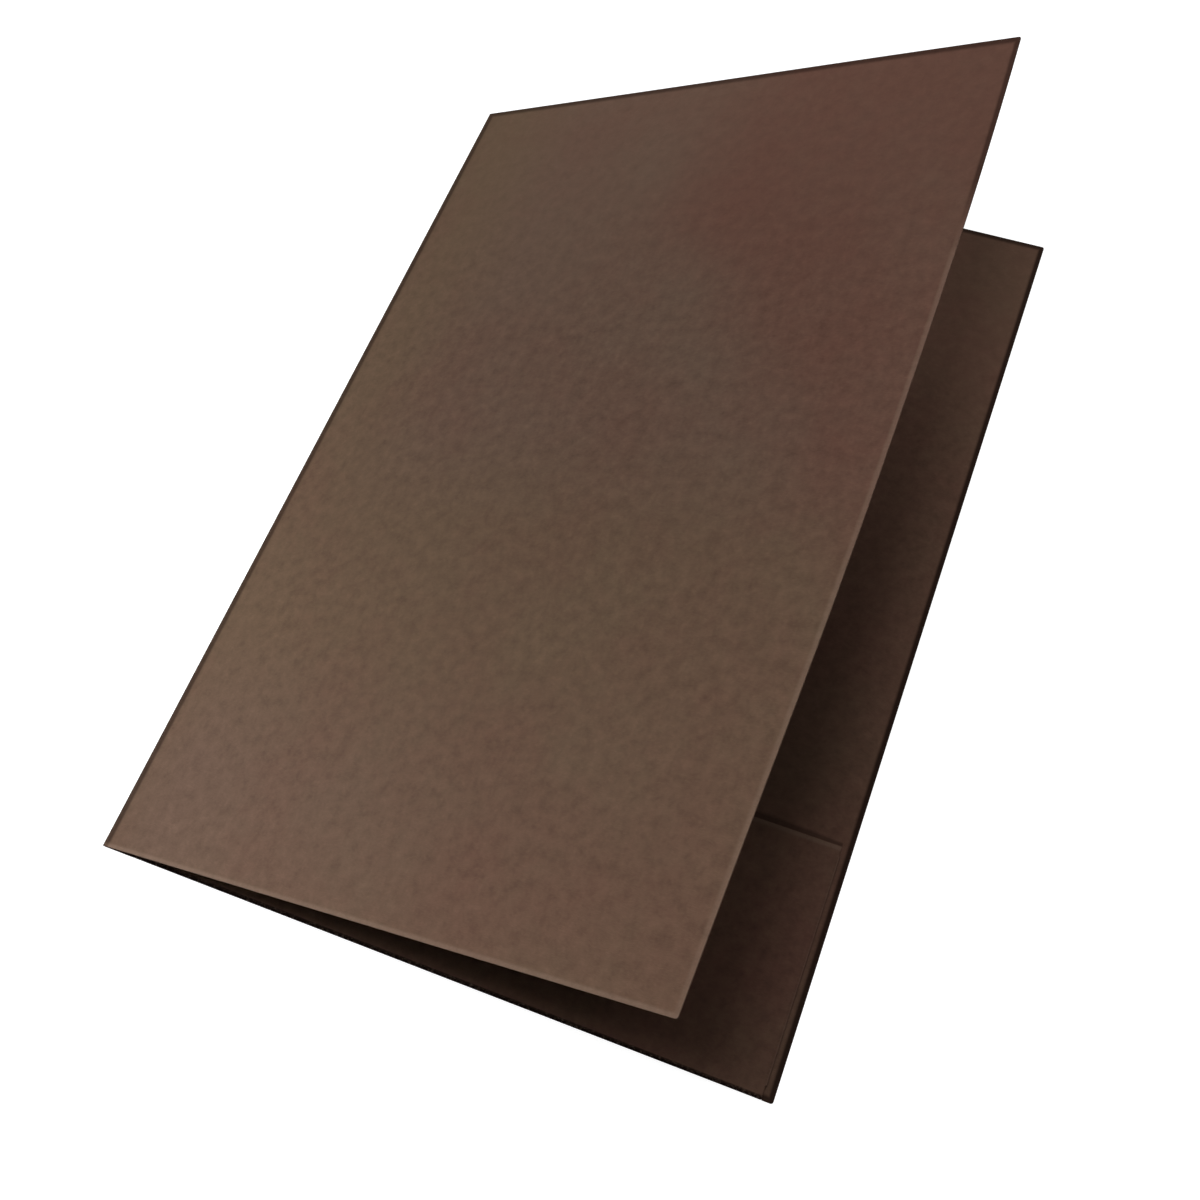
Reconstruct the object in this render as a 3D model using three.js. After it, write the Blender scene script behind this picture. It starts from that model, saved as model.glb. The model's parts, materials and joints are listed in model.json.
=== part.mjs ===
// A4 presentation folder: one die-cut sheet of dark brown card, creased into two covers and a glued pocket.
// It lies on its back cover, and the front cover stands part open about the spine fold.
// Millimetres. The origin is the middle of the back cover's underside. X runs from the spine to the free
// edge, Y runs up the spine, and Z runs up from the surface that the folder lies on.

import * as THREE from "three";

// Covers
const coverWidth = 220;
const coverHeight = 310;
const cardThickness = 0.4;
const openingAngle = 25.9; // degrees between the covers as the folder stands
const coverBow = 5.2; // how far the middle of the front cover's free edge sags towards the back cover
const bowSkew = 0.4; // share by which the bow is deeper towards the top of the spine than towards its foot

// Folds, each by its inside radius
const spineFoldRadius = 0.35;
const tabFoldRadius = 0.05;

// Pocket, folded up from the foot of the back cover
const pocketHeight = 76;
const pocketEdgeInset = 3; // from the back cover's free edge to the pocket's outer side
const pocketSpineGap = 10; // from the spine to the pocket's inner side, at its foot
const pocketTaper = 6; // how much further from the spine that side is at the pocket's mouth

// Glue tab, folded under the pocket's outer side, and the glue that holds it
const tabWidth = 18;
const tabFootGap = 4; // from the foot of the folder to the tab
const tabMouthGap = 3; // from the pocket's mouth down to the tab
const tabEndSlope = 5; // how much each end of the tab is cut back over its width
const glueWidth = 9;
const glueThickness = 0.1;
const glueMargin = 4; // from the tab's sides to the glue

// Business card slits, one across each corner of a card laid on the pocket
const cardWidth = 85;
const cardHeight = 55;
const slitReach = 12; // from the card's corner to where the slit crosses its edges
const slitOverrun = 1.5; // past the card's edges, at each end of the slit
const slitWidth = 0.5;

// Facets
const foldSteps = 12; // in a half turn of fold
const slitEndSteps = 4; // in each round end of a slit
const bowStepsAcross = 12;
const bowStepsUp = 16;

const halfWidth = coverWidth / 2;
const halfHeight = coverHeight / 2;
const opening = THREE.MathUtils.degToRad(openingAngle);
const quarterTurn = Math.PI / 2;

// The stack through the pocket, from the underside up
const glueBase = cardThickness;
const tabBase = glueBase + glueThickness;
const pocketBase = tabBase + cardThickness + 2 * tabFoldRadius;

// The folds' axes
const spineAxisX = -halfWidth + cardThickness + spineFoldRadius;
const spineAxisZ = cardThickness + spineFoldRadius;
const bottomFoldRadius = (pocketBase - cardThickness) / 2;
const bottomAxisY = -halfHeight + cardThickness + bottomFoldRadius;
const bottomAxisZ = cardThickness + bottomFoldRadius;
const sideAxisX = halfWidth - pocketEdgeInset - cardThickness - tabFoldRadius;
const sideAxisZ = pocketBase - tabFoldRadius;

// The pocket's and the tab's corners
const pocketMouthY = -halfHeight + pocketHeight;
const pocketInnerX = -halfWidth + pocketSpineGap;
const tabFootY = -halfHeight + tabFootGap;
const tabMouthY = pocketMouthY - tabMouthGap;
const tabInnerX = sideAxisX - tabWidth;

const cardStock = new THREE.MeshStandardMaterial({ color: 0x5e4a3e, roughness: 0.85, metalness: 0 });
const driedGlue = new THREE.MeshStandardMaterial({ color: 0xd8cfae, roughness: 0.4, metalness: 0 });

// A closed outline through straight-line corners.
function outline(corners) {
  return new THREE.Shape(corners.map(([x, y]) => new THREE.Vector2(x, y)));
}

// A flat sheet of the given outline and thickness, with its underside at height zero.
function sheet(shape, thickness = cardThickness) {
  return new THREE.ExtrudeGeometry(shape, { depth: thickness, bevelEnabled: false, curveSegments: slitEndSteps });
}

// A fold: the card's thickness bent round an axis, from one angle to a larger one, and drawn out along +Z.
function fold(insideRadius, fromAngle, toAngle, length) {
  const section = new THREE.Shape();
  section.absarc(0, 0, insideRadius + cardThickness, fromAngle, toAngle, false);
  section.absarc(0, 0, insideRadius, toAngle, fromAngle, true);
  const turn = (toAngle - fromAngle) / Math.PI;
  const curveSegments = Math.ceil(foldSteps * turn);
  return new THREE.ExtrudeGeometry(section, { depth: length, bevelEnabled: false, curveSegments });
}

// A slit with round ends between two points.
function slit(from, to) {
  const run = to.clone().sub(from);
  const heading = run.angle();
  const path = new THREE.Path();
  path.absarc(to.x, to.y, slitWidth / 2, heading - quarterTurn, heading + quarterTurn, false);
  path.absarc(from.x, from.y, slitWidth / 2, heading + quarterTurn, heading + 3 * quarterTurn, false);
  path.closePath();
  return path;
}

// The four slits that hold the corners of a business card centred on the pocket.
function cardSlits() {
  const middle = new THREE.Vector2((pocketInnerX + sideAxisX) / 2, (bottomAxisY + pocketMouthY) / 2);
  const slits = [];
  for (const right of [-1, 1]) {
    for (const up of [-1, 1]) {
      const corner = new THREE.Vector2(right * cardWidth, up * cardHeight).multiplyScalar(0.5).add(middle);
      const onSide = corner.clone().sub(new THREE.Vector2(0, up * slitReach));
      const onEnd = corner.clone().sub(new THREE.Vector2(right * slitReach, 0));
      const outward = onEnd.clone().sub(onSide).setLength(slitOverrun);
      slits.push(slit(onSide.clone().sub(outward), onEnd.clone().add(outward)));
    }
  }
  return slits;
}

// How far the front cover sags from flat, at a distance from the spine and a height up it.
// It leaves the fold flat, and bows most along the free edge, a little above the middle.
function bowAt(fromSpine, up) {
  const across = fromSpine / (halfWidth - spineAxisX);
  const along = up / halfHeight;
  return coverBow * across ** 2 * (1 - along ** 2) * (1 + bowSkew * along);
}

// The back cover, cut back at its foot to make room for the pocket's fold.
function backCover() {
  return sheet(outline([
    [spineAxisX, -halfHeight],
    [pocketInnerX, -halfHeight],
    [pocketInnerX, bottomAxisY],
    [sideAxisX, bottomAxisY],
    [sideAxisX, -halfHeight],
    [halfWidth, -halfHeight],
    [halfWidth, halfHeight],
    [spineAxisX, halfHeight],
  ]));
}

// The front cover, drawn from the fold's axis along +X with its outer face up, and bowed.
function frontCover() {
  const run = halfWidth - spineAxisX;
  const geometry = new THREE.BoxGeometry(run, coverHeight, cardThickness, bowStepsAcross, bowStepsUp, 1);
  geometry.translate(run / 2, 0, spineFoldRadius + cardThickness / 2);
  const points = geometry.attributes.position;
  for (let i = 0; i < points.count; i += 1) {
    points.setZ(i, points.getZ(i) - bowAt(points.getX(i), points.getY(i)));
  }
  geometry.computeVertexNormals();
  return geometry;
}

// The spine fold, from the front cover's inner end round the outside to the back cover's.
function spineFold() {
  return fold(spineFoldRadius, quarterTurn + opening, 3 * quarterTurn, coverHeight);
}

// The pocket's front, with its inner side sloping away from the spine and four card slits.
function pocketPanel() {
  const panel = outline([
    [pocketInnerX, bottomAxisY],
    [sideAxisX, bottomAxisY],
    [sideAxisX, pocketMouthY],
    [pocketInnerX + pocketTaper, pocketMouthY],
  ]);
  panel.holes.push(...cardSlits());
  return sheet(panel);
}

// The fold at the pocket's foot, from its front round to the back cover.
function pocketBottomFold() {
  return fold(bottomFoldRadius, quarterTurn, 3 * quarterTurn, sideAxisX - pocketInnerX);
}

// The fold at the pocket's outer side, from the glue tab round to its front.
function pocketSideFold() {
  return fold(tabFoldRadius, -quarterTurn, quarterTurn, tabMouthY - tabFootY);
}

// The glue tab, narrower along its free side because both ends are cut back.
function glueTab() {
  return sheet(outline([
    [sideAxisX, tabFootY],
    [sideAxisX, tabMouthY],
    [tabInnerX, tabMouthY - tabEndSlope],
    [tabInnerX, tabFootY + tabEndSlope],
  ]));
}

// The line of glue, under the middle of the tab.
function glueLine() {
  const middleX = (tabInnerX + sideAxisX) / 2;
  const footY = tabFootY + tabEndSlope + glueMargin;
  const mouthY = tabMouthY - tabEndSlope - glueMargin;
  return sheet(outline([
    [middleX - glueWidth / 2, footY],
    [middleX + glueWidth / 2, footY],
    [middleX + glueWidth / 2, mouthY],
    [middleX - glueWidth / 2, mouthY],
  ]), glueThickness);
}

function piece(name, geometry, material = cardStock) {
  const mesh = new THREE.Mesh(geometry, material);
  mesh.name = name;
  return mesh;
}

const folder = new THREE.Group();

folder.add(piece("back_cover", backCover()));

// Section across the spine: the fold's own Y becomes up, and it is drawn out down the spine.
const spine = piece("spine_fold", spineFold());
spine.position.set(spineAxisX, halfHeight, spineAxisZ);
spine.rotation.x = quarterTurn;
folder.add(spine);

// The front leaf turns about the spine fold's axis.
const frontLeaf = new THREE.Group();
frontLeaf.position.set(spineAxisX, 0, spineAxisZ);
frontLeaf.rotation.y = -opening;
frontLeaf.add(piece("front_cover", frontCover()));
folder.add(frontLeaf);

const pocket = piece("pocket_panel", pocketPanel());
pocket.position.z = pocketBase;
folder.add(pocket);

// Section across the foot: the fold's own X becomes Y, its Y becomes up, and it is drawn out along X.
const bottomFold = piece("pocket_bottom_fold", pocketBottomFold());
bottomFold.position.set(pocketInnerX, bottomAxisY, bottomAxisZ);
bottomFold.rotation.set(quarterTurn, quarterTurn, 0);
folder.add(bottomFold);

const sideFold = piece("pocket_side_fold", pocketSideFold());
sideFold.position.set(sideAxisX, tabMouthY, sideAxisZ);
sideFold.rotation.x = quarterTurn;
folder.add(sideFold);

const tab = piece("pocket_glue_tab", glueTab());
tab.position.z = tabBase;
folder.add(tab);

const glue = piece("pocket_glue", glueLine(), driedGlue);
glue.position.z = glueBase;
folder.add(glue);

export default folder;
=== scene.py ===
"""A4 presentation folder of dark brown card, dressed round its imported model.

Each leaf, fold and flap of the folder is a closed sheet of card, worked out as whole arrays from a formula
that takes a place on the flat sheet and a depth below its outer face to a point in space. Every sheet also
remembers its place on the flat sheet that it was cut from, so the card's grain runs on across the folds.
"""

import json
import math

import bpy
import numpy as np
from bpy.props import FloatProperty, FloatVectorProperty, PointerProperty
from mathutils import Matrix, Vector


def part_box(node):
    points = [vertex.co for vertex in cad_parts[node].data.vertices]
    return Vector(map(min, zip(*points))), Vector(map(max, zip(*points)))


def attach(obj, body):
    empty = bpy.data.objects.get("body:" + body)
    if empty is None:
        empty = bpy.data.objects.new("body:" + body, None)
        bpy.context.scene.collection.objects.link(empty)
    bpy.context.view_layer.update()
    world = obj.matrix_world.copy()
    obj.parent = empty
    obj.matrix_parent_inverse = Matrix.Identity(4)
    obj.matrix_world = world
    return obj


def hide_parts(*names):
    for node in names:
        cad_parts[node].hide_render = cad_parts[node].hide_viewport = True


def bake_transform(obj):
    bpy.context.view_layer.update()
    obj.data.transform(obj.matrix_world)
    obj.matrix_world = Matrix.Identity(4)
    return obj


bl_info = {
    "name": "Card Folder",
    "version": (1, 0, 0),
    "blender": (4, 5, 0),
    "location": "3D View > Sidebar > Folder",
    "description": "Builds a pocket folder of dark brown card round its packed model",
    "category": "Object",
}

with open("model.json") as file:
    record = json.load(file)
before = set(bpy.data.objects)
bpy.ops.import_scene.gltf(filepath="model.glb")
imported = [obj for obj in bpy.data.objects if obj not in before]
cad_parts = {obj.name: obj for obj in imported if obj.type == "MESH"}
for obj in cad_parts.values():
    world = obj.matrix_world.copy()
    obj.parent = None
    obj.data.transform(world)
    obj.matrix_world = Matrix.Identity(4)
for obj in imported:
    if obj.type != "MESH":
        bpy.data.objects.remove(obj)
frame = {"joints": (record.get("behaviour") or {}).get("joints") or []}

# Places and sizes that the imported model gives, in metres
HINGE = Vector(frame["joints"][0]["pos_m"])
BACK_LOW, BACK_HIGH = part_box("back_cover")
FRONT_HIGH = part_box("front_cover")[1]
PANEL_LOW, PANEL_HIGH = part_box("pocket_panel")
FOOT_LOW, FOOT_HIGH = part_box("pocket_bottom_fold")
SIDE_LOW, SIDE_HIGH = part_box("pocket_side_fold")
TAB_LOW, TAB_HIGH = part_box("pocket_glue_tab")
GLUE_LOW, GLUE_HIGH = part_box("pocket_glue")

CARD = BACK_HIGH.z - BACK_LOW.z
RUN = BACK_HIGH.x - HINGE.x
HALF_HEIGHT = BACK_HIGH.y
SPINE_RADIUS = HINGE.z
FOOT_RADIUS = (FOOT_HIGH.z - FOOT_LOW.z) / 2
SIDE_RADIUS = (SIDE_HIGH.z - SIDE_LOW.z) / 2

# The front cover's outer top corner is RUN out from the hinge and SPINE_RADIUS off its axis.
CORNER_RISE = (FRONT_HIGH.z - HINGE.z) / math.hypot(RUN, SPINE_RADIUS)
OPENING = math.asin(CORNER_RISE) - math.atan2(SPINE_RADIUS, RUN)

# Lengths of card in each fold, along the middle of its thickness
SPINE_ARC = (SPINE_RADIUS - CARD / 2) * (math.pi - OPENING)
FOOT_ARC = (FOOT_RADIUS - CARD / 2) * math.pi
SIDE_ARC = (SIDE_RADIUS - CARD / 2) * math.pi

# The steps of the sheets' grids, and how many steps go round a fold
GRID = 0.002
FINE_GRID = 0.0009
FOLD_STEPS = 36

# The closer grid lines that carry the marks along a side, measured from the side
SIDE_LINES = np.array([0, 0.2, 0.4, 0.6, 0.8, 1, 1.3, 1.6, 1.9, 2.2, 2.5, 2.8]) / 1000

# The loops of a rim: their depths in thicknesses, and how far each is drawn in, in edge rounds
RIM_DEPTHS = np.array([0, 0.15, 0.5, 0.85, 1])
RIM_INSETS = np.array([1, 0.3, 0, 0.3, 1])

# Each leaf starts this far out from the hinge, so that the two keep apart when the folder lies flat open.
HINGE_GAP = 0.00002

# How near to a side's line a point counts as on it, and how far a crease marks the card beside it
ON_LINE = 0.00002
CREASE_REACH = 0.0008

# How often torn fibres and the clouds in the glue come, in times a metre
TORN_OFTEN = 900.0
GLUE_OFTEN = 320.0

# How dark the painted shade is beside a slit, and how far out
SLIT_DARK = 0.6
SLIT_MARK = 0.0012

# Faces that meet at more than this angle show a sharp edge, and a slit's cutter has this many sides.
SHARP_ANGLE = math.radians(24)
BLADE_SIDES = 24


def srgb(*levels):
    """A colour given as 0 to 255 in each channel, as the linear values that Blender mixes."""
    share = np.array(levels) / 255
    return tuple(np.where(share <= 0.04045, share / 12.92, ((share + 0.055) / 1.055) ** 2.4))


def amount(name, default, description, **kind):
    """A number that a user can change."""
    return FloatProperty(name=name, description=description, default=default, **kind)


def length(name, default, description):
    """A size that a user can change, in metres."""
    return amount(name, default, description, unit="LENGTH")


def power(name, default, description):
    """A lamp's strength that a user can change, in watts."""
    return amount(name, default, description, unit="POWER", min=0)


def vector(name, default, description, **kind):
    """A few numbers that a user can change together."""
    return FloatVectorProperty(
        name=name, description=description, default=default, size=len(default), **kind
    )


def tone(name, default, description):
    """A colour that a user can change."""
    return vector(name, default, description, subtype="COLOR", min=0, max=1)


class FolderSizes(bpy.types.PropertyGroup):
    """The shape of the card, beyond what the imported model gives."""

    bow: length("Cover bow", 0.0052, "How far the middle of the front cover's free edge sags")
    bow_skew: amount("Bow skew", 0.4, "Share by which the bow is deeper towards the top of the spine")
    ripple: length("Ripple", 0.0002, "Height of the slow waves in the front cover")
    edge_round: length("Edge round", 0.00007, "How far a cut edge is rounded over at each face")
    corner_round: length("Corner round", 0.0008, "Radius of the covers' corners, seen from above")
    fold_bead: length("Fold bead", 0.00012, "Height of the bead that creasing raises inside a fold")
    mouth_lift: length("Mouth lift", 0.0006, "How far the middle of the pocket's mouth springs up")
    taper: length("Pocket taper", 0.006, "How far the pocket's inner side leans away from the spine")
    visiting_width: length("Card width", 0.085, "Width of the card that the slits hold")
    visiting_height: length("Card height", 0.055, "Height of the card that the slits hold")
    slit_reach: length("Slit reach", 0.012, "From the card's corner to where the slit crosses its edges")
    slit_overrun: length("Slit overrun", 0.0015, "How far a slit runs past the card's edges, at each end")
    slit_width: length("Slit width", 0.0005, "Width of a slit")
    lip_lift: length("Lip lift", 0.0003, "How far the corner side of a slit stands above its other side")
    tab_slope: length("Tab slope", 0.005, "How much each end of the glue tab is cut back over its width")


class CardFinish(bpy.types.PropertyGroup):
    """The card's colours and grain."""

    olive_tone: tone("Olive tone", srgb(96, 78, 63), "The card's colour where its dye lies greener")
    red_tone: tone("Red tone", srgb(95, 68, 58), "The card's colour where its dye lies redder")
    mauve_tone: tone("Mauve tone", srgb(96, 77, 66), "The card's colour where its dye lies pinker")
    # Pale fibres at cut edges and creases, also the colour of painted highlights along pale edges
    raw_tone: tone("Raw tone", srgb(132, 112, 98), "Pale fibres at cut edges and along creases")
    # Pressed card, also the colour of painted shade along rims, folds, slits and the pocket's mouth
    pressed_tone: tone("Pressed tone", (0.009, 0.0045, 0.0035), "Card that a die or a fold has pressed")
    patch_size: length("Patch size", 0.055, "How far apart the dye's patches lie")
    fibre_length: length("Fibre length", 0.0022, "Length of the fibres that show in the surface")
    grain: amount("Grain", 0.44, "How strongly the fibres lighten and darken the card", min=0)
    mottling: amount("Mottling", 0.55, "How strongly the soft mottles lighten and darken the card", min=0)
    felt_bump: amount("Felt bump", 0.28, "How strongly the felt shows as bumps", min=0)
    felt_height: length("Felt height", 0.00012, "Height of the felt's bumps")
    roughness: amount(
        "Roughness", 0.86, "Roughness of the uncoated face", min=0, max=1, subtype="FACTOR"
    )


class StudioSettings(bpy.types.PropertyGroup):
    """The camera and the soft lights."""

    camera_place: vector(
        "Camera place",
        (0.12627, -0.20051, 0.45302),
        "Where the camera stands",
        subtype="TRANSLATION",
        unit="LENGTH",
    )
    camera_turn: vector(
        "Camera turn",
        tuple(math.radians(a) for a in (27.0332, 4.8715, 20.7776)),
        "The camera's turns about X, Y and Z",
        subtype="EULER",
        unit="ROTATION",
    )
    camera_lens: amount("Lens", 45.447, "Focal length, for a sensor 36 mm wide", unit="CAMERA")
    camera_shift: vector(
        "Shift", (-0.02658, -0.06187), "The picture's shift off the lens's axis, in picture widths"
    )
    sky: amount("Sky", 0.005, "Brightness of the even light from all round", min=0)
    far_light: power("Far light", 12.8, "Power of the large soft box beyond the folder's top")
    top_light: power("Top light", 5.3, "Power of the soft box above the folder")
    key_light: power("Key light", 0.55, "Power of the small soft box beside the spine's foot")
    fill_light: power("Fill light", 0.665, "Power of the soft box before the folder's foot")
    floor_glow: amount("Floor glow", 0.9, "White that the floor adds to its shade for the camera", min=0)
    floor_tone: tone("Floor", (0.4, 0.4, 0.4), "Colour of the floor and the backdrop")


def lines(low, high, step):
    """Grid lines from low to high: evenly spaced, with closer ones along both ends."""
    count = max(2, round((high - low - 2 * SIDE_LINES[-1]) / step) + 1)
    middle = np.linspace(low + SIDE_LINES[-1], high - SIDE_LINES[-1], count)
    return np.concatenate([low + SIDE_LINES[:-1], middle, high - SIDE_LINES[-2::-1]])


def strip(distance, width=0.0024, full=0.45):
    """One from an edge to the full share of the width, falling smoothly to nought at the width.

    The fall is three squares of the share left less two cubes.
    """
    left = np.clip((1 - np.abs(distance) / width) / (1 - full), 0, 1)
    return left * left * (3 - 2 * left)


def even_wear(crease, rub):
    """A formula for creases, rubbing and painted light that is the same all over."""
    return lambda u, v: (np.full(u.shape, float(crease)), np.full(u.shape, float(rub)))


def rounded(u, v, low, high, radius, cut):
    """Rounds the corners between the cut sides of a sheet.

    In a corner's last radius each way, a and b run from nought to one towards the two sides. The square
    that they span is taken to a quarter disc: a goes to a times the root of one less half b squared, and b
    to b times the root of one less half a squared.
    """
    left, right, lower, upper = cut
    moved_u, moved_v = u.copy(), v.copy()
    for side_u, edge_u, cut_u in ((-1, low[0], left), (1, high[0], right)):
        for side_v, edge_v, cut_v in ((-1, low[1], lower), (1, high[1], upper)):
            a = np.clip(1 - np.abs(u - edge_u) / radius, 0, 1) * (cut_u and cut_v)
            b = np.clip(1 - np.abs(v - edge_v) / radius, 0, 1) * (cut_u and cut_v)
            moved_u += side_u * radius * (a * np.sqrt(1 - b * b / 2) - a)
            moved_v += side_v * radius * (b * np.sqrt(1 - a * a / 2) - b)
    return moved_u, moved_v


def cells(shape):
    """The four corner numbers of each square of a grid whose points are numbered row by row."""
    number = np.arange(math.prod(shape)).reshape(shape)
    corners = [number[:-1, :-1], number[1:, :-1], number[1:, 1:], number[:-1, 1:]]
    return np.stack(corners, axis=-1).reshape(-1, 4)


def fill_mesh(mesh, points, quads):
    """Puts arrays of points and four-sided faces into an empty mesh, with every face turned outwards.

    Each face's middle dotted with the cross of its diagonals adds up to six times the volume inside, so
    where the sum is below nought, all the faces are turned over.
    """
    corner = points[quads]
    cross = np.cross(corner[:, 2] - corner[:, 0], corner[:, 3] - corner[:, 1])
    if (corner.mean(axis=1) * cross).sum() < 0:
        quads = quads[:, ::-1]
    mesh.vertices.add(len(points))
    mesh.vertices.foreach_set("co", points.astype(np.float32).ravel())
    mesh.loops.add(quads.size)
    mesh.loops.foreach_set("vertex_index", quads.astype(np.int32).ravel())
    mesh.polygons.add(len(quads))
    mesh.polygons.foreach_set("loop_start", np.arange(0, quads.size, 4, dtype=np.int32))
    mesh.update(calc_edges=True)
    mesh.validate()


def note(mesh, name, values):
    """Stores one number, or one vector, for each point of a mesh, in place of any that it had."""
    if mesh.attributes.get(name):
        mesh.attributes.remove(mesh.attributes[name])
    kind, field = ("FLOAT_VECTOR", "vector") if values.ndim == 2 else ("FLOAT", "value")
    attribute = mesh.attributes.new(name, kind, "POINT")
    attribute.data.foreach_set(field, values.astype(np.float32).ravel())


def mark(mesh, at, sides, flat_place, worn):
    """Notes each point's place on the flat card, whether it is on a cut side, and its creases, rubbing and
    painted light.

    at holds each point's u, v and depth, and the fifth argument holds how creased it is, and its rubbing and
    painted light. sides holds the sheet's low and high corners and which of its sides are cut. A point is
    on a cut side where its depth is between the faces and it is on that side's line.
    """
    u, v, depth = at
    low, high, cut = sides
    gaps = (u - low[0], high[0] - u, v - low[1], high[1] - v)
    on_side = np.max([is_cut * (np.abs(gap) < ON_LINE) for gap, is_cut in zip(gaps, cut)], axis=0)
    between = (depth > 0.1 * CARD) & (depth < 0.9 * CARD)
    note(mesh, "card_place", np.stack([*flat_place, depth], axis=-1))
    note(mesh, "cut_edge", on_side * between)
    note(mesh, "crease", worn[0])
    note(mesh, "rub", worn[1])


def sheet(name, formulas, grid, cut, sizes, thickness=CARD):
    """Makes a closed sheet of card.

    formulas holds place, which takes arrays of u across, v up and d below the outer face to points, flat,
    which takes u and v to the place on the flat card, and a third formula, which takes them to how creased
    the card is and to its rubbing and painted light. The outer face is the grid of lines across and up at no
    depth, the inner face is the grid at the whole thickness, and the rim joins their borders through loops
    between. cut tells which of the left, right, lower and upper sides are cut: there the faces stop short of
    the rim, which rounds the edge.
    """
    place, flat, wear = formulas
    across, up = grid
    grid_u, grid_v = np.meshgrid(across, up, indexing="ij")
    low, high = (across[0], up[0]), (across[-1], up[-1])
    left, right, lower, upper = cut
    out_u, out_v = np.zeros_like(grid_u), np.zeros_like(grid_v)
    out_u[0], out_u[-1] = -left, right
    out_v[:, 0] -= lower
    out_v[:, -1] += upper

    number = np.arange(grid_u.size).reshape(grid_u.shape)
    border = np.concatenate([number[:-1, 0], number[-1, :-1], number[:0:-1, -1], number[0, :0:-1]])
    parts, loops, start = [], [], 0
    for depth, inset in zip(thickness * RIM_DEPTHS, sizes.edge_round * RIM_INSETS):
        is_face = depth in (0, thickness)
        chosen = number.ravel() if is_face else border
        u = (grid_u - inset * out_u).ravel()[chosen]
        v = (grid_v - inset * out_v).ravel()[chosen]
        parts.append(np.stack([u, v, np.full(len(chosen), depth)]))
        loops.append(start + (border if is_face else np.arange(len(border))))
        start += len(chosen)
    u, v, depth = np.concatenate(parts, axis=1)
    round_u, round_v = rounded(u, v, low, high, sizes.corner_round, cut)

    squares = cells(grid_u.shape)
    faces = [squares, start - grid_u.size + squares[:, ::-1]]
    for one, two in zip(loops[:-1], loops[1:]):
        faces.append(np.stack([one, two, np.roll(two, -1), np.roll(one, -1)], axis=-1))
    mesh = bpy.data.meshes.new(name)
    fill_mesh(mesh, np.stack(place(round_u, round_v, depth), axis=-1), np.concatenate(faces))
    mark(mesh, (u, v, depth), (low, high, cut), flat(u, v), wear(u, v))
    return show(name, mesh)


def smooth(mesh):
    """Shades a mesh smooth but for its sharp edges."""
    mesh.polygons.foreach_set("use_smooth", np.ones(len(mesh.polygons), dtype=bool))
    mesh.set_sharp_from_angle(angle=SHARP_ANGLE)


def show(name, mesh):
    """Shades a mesh, and puts it into the scene as an object."""
    smooth(mesh)
    piece = bpy.data.objects.new(name, mesh)
    bpy.context.scene.collection.objects.link(piece)
    return piece


def dress(piece, node, body, slot="card"):
    """Gives a piece its finish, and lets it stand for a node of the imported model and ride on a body."""
    finish = card_material(bpy.context.scene.card_finish) if slot == "card" else glue_material()
    piece.data.materials.clear()
    piece.data.materials.append(finish)
    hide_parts(node)
    if body is not None:
        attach(piece, body)


# Shader nodes


class Signal:
    """A node's output. The signs of arithmetic join it to numbers and to other signals by maths nodes."""

    def __init__(self, socket):
        self.socket = socket
        self.tree = socket.id_data

    def __add__(self, other):
        return maths("ADD", self, other)

    def __sub__(self, other):
        return maths("SUBTRACT", self, other)

    def __rsub__(self, other):
        return maths("SUBTRACT", other, self)

    def __mul__(self, other):
        return maths("MULTIPLY", self, other)

    def __truediv__(self, other):
        return maths("DIVIDE", self, other)

    def __rtruediv__(self, other):
        return maths("DIVIDE", other, self)

    def held(self):
        """The same value, held between nought and one."""
        return maths("ADD", self, 0.0, clamp=True)


def tree_of(*values):
    """The node tree of the first signal among some values."""
    return next(value.tree for value in values if isinstance(value, Signal))


def feed(made, values):
    """Sets a node's inputs, by name or number, to signals, numbers or colours."""
    for key, value in values.items():
        if isinstance(value, Signal):
            value.tree.links.new(value.socket, made.inputs[key])
        else:
            made.inputs[key].default_value = value
    return made


def node(tree, kind, values=None, **settings):
    """A new node with its settings and its inputs."""
    made = tree.nodes.new(kind)
    for key, value in settings.items():
        setattr(made, key, value)
    return feed(made, values or {})


def signal(tree, kind, values=None, output=0, **settings):
    """The output, by name or number, of a new node."""
    return Signal(node(tree, kind, values, **settings).outputs[output])


def maths(operation, *given, clamp=False):
    """What a maths node makes of signals and numbers."""
    values = dict(enumerate(given))
    return signal(tree_of(*given), "ShaderNodeMath", values, operation=operation, use_clamp=clamp)


def larger(one, two):
    """The larger of two values."""
    return maths("MAXIMUM", one, two)


def spread(value, low, high, to_low=0.0, to_high=1.0):
    """A value taken from one range to another, and held within it."""
    values = {0: value, 1: low, 2: high, 3: to_low, 4: to_high}
    return signal(value.tree, "ShaderNodeMapRange", values, clamp=True)


def mixed(share, one, two, blend="MIX"):
    """The colour that is a share of the way from one colour to another."""
    values = {0: share, 6: one, 7: two}
    settings = {"data_type": "RGBA", "blend_type": blend, "clamp_factor": True}
    return signal(tree_of(share, one, two), "ShaderNodeMix", values, output=2, **settings)


def noise(place, often, detail=2.0, roughness=0.5, stretch=(1, 1, 1), turn=0.0):
    """The value of a noise texture, stretched and turned about the card's depth."""
    turned = {"Vector": place, "Scale": stretch, "Rotation": (0, 0, turn)}
    point = signal(place.tree, "ShaderNodeMapping", turned)
    values = {"Vector": point, "Scale": often, "Detail": detail, "Roughness": roughness}
    return signal(place.tree, "ShaderNodeTexNoise", values)


def seen_directly(tree):
    """One for the rays that show a surface to the camera, a mirror or glass, and nought for the rest."""
    ray = node(tree, "ShaderNodeLightPath").outputs
    seen = Signal(ray["Is Camera Ray"]) + Signal(ray["Is Glossy Ray"]) + Signal(ray["Is Transmission Ray"])
    return seen.held()


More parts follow.
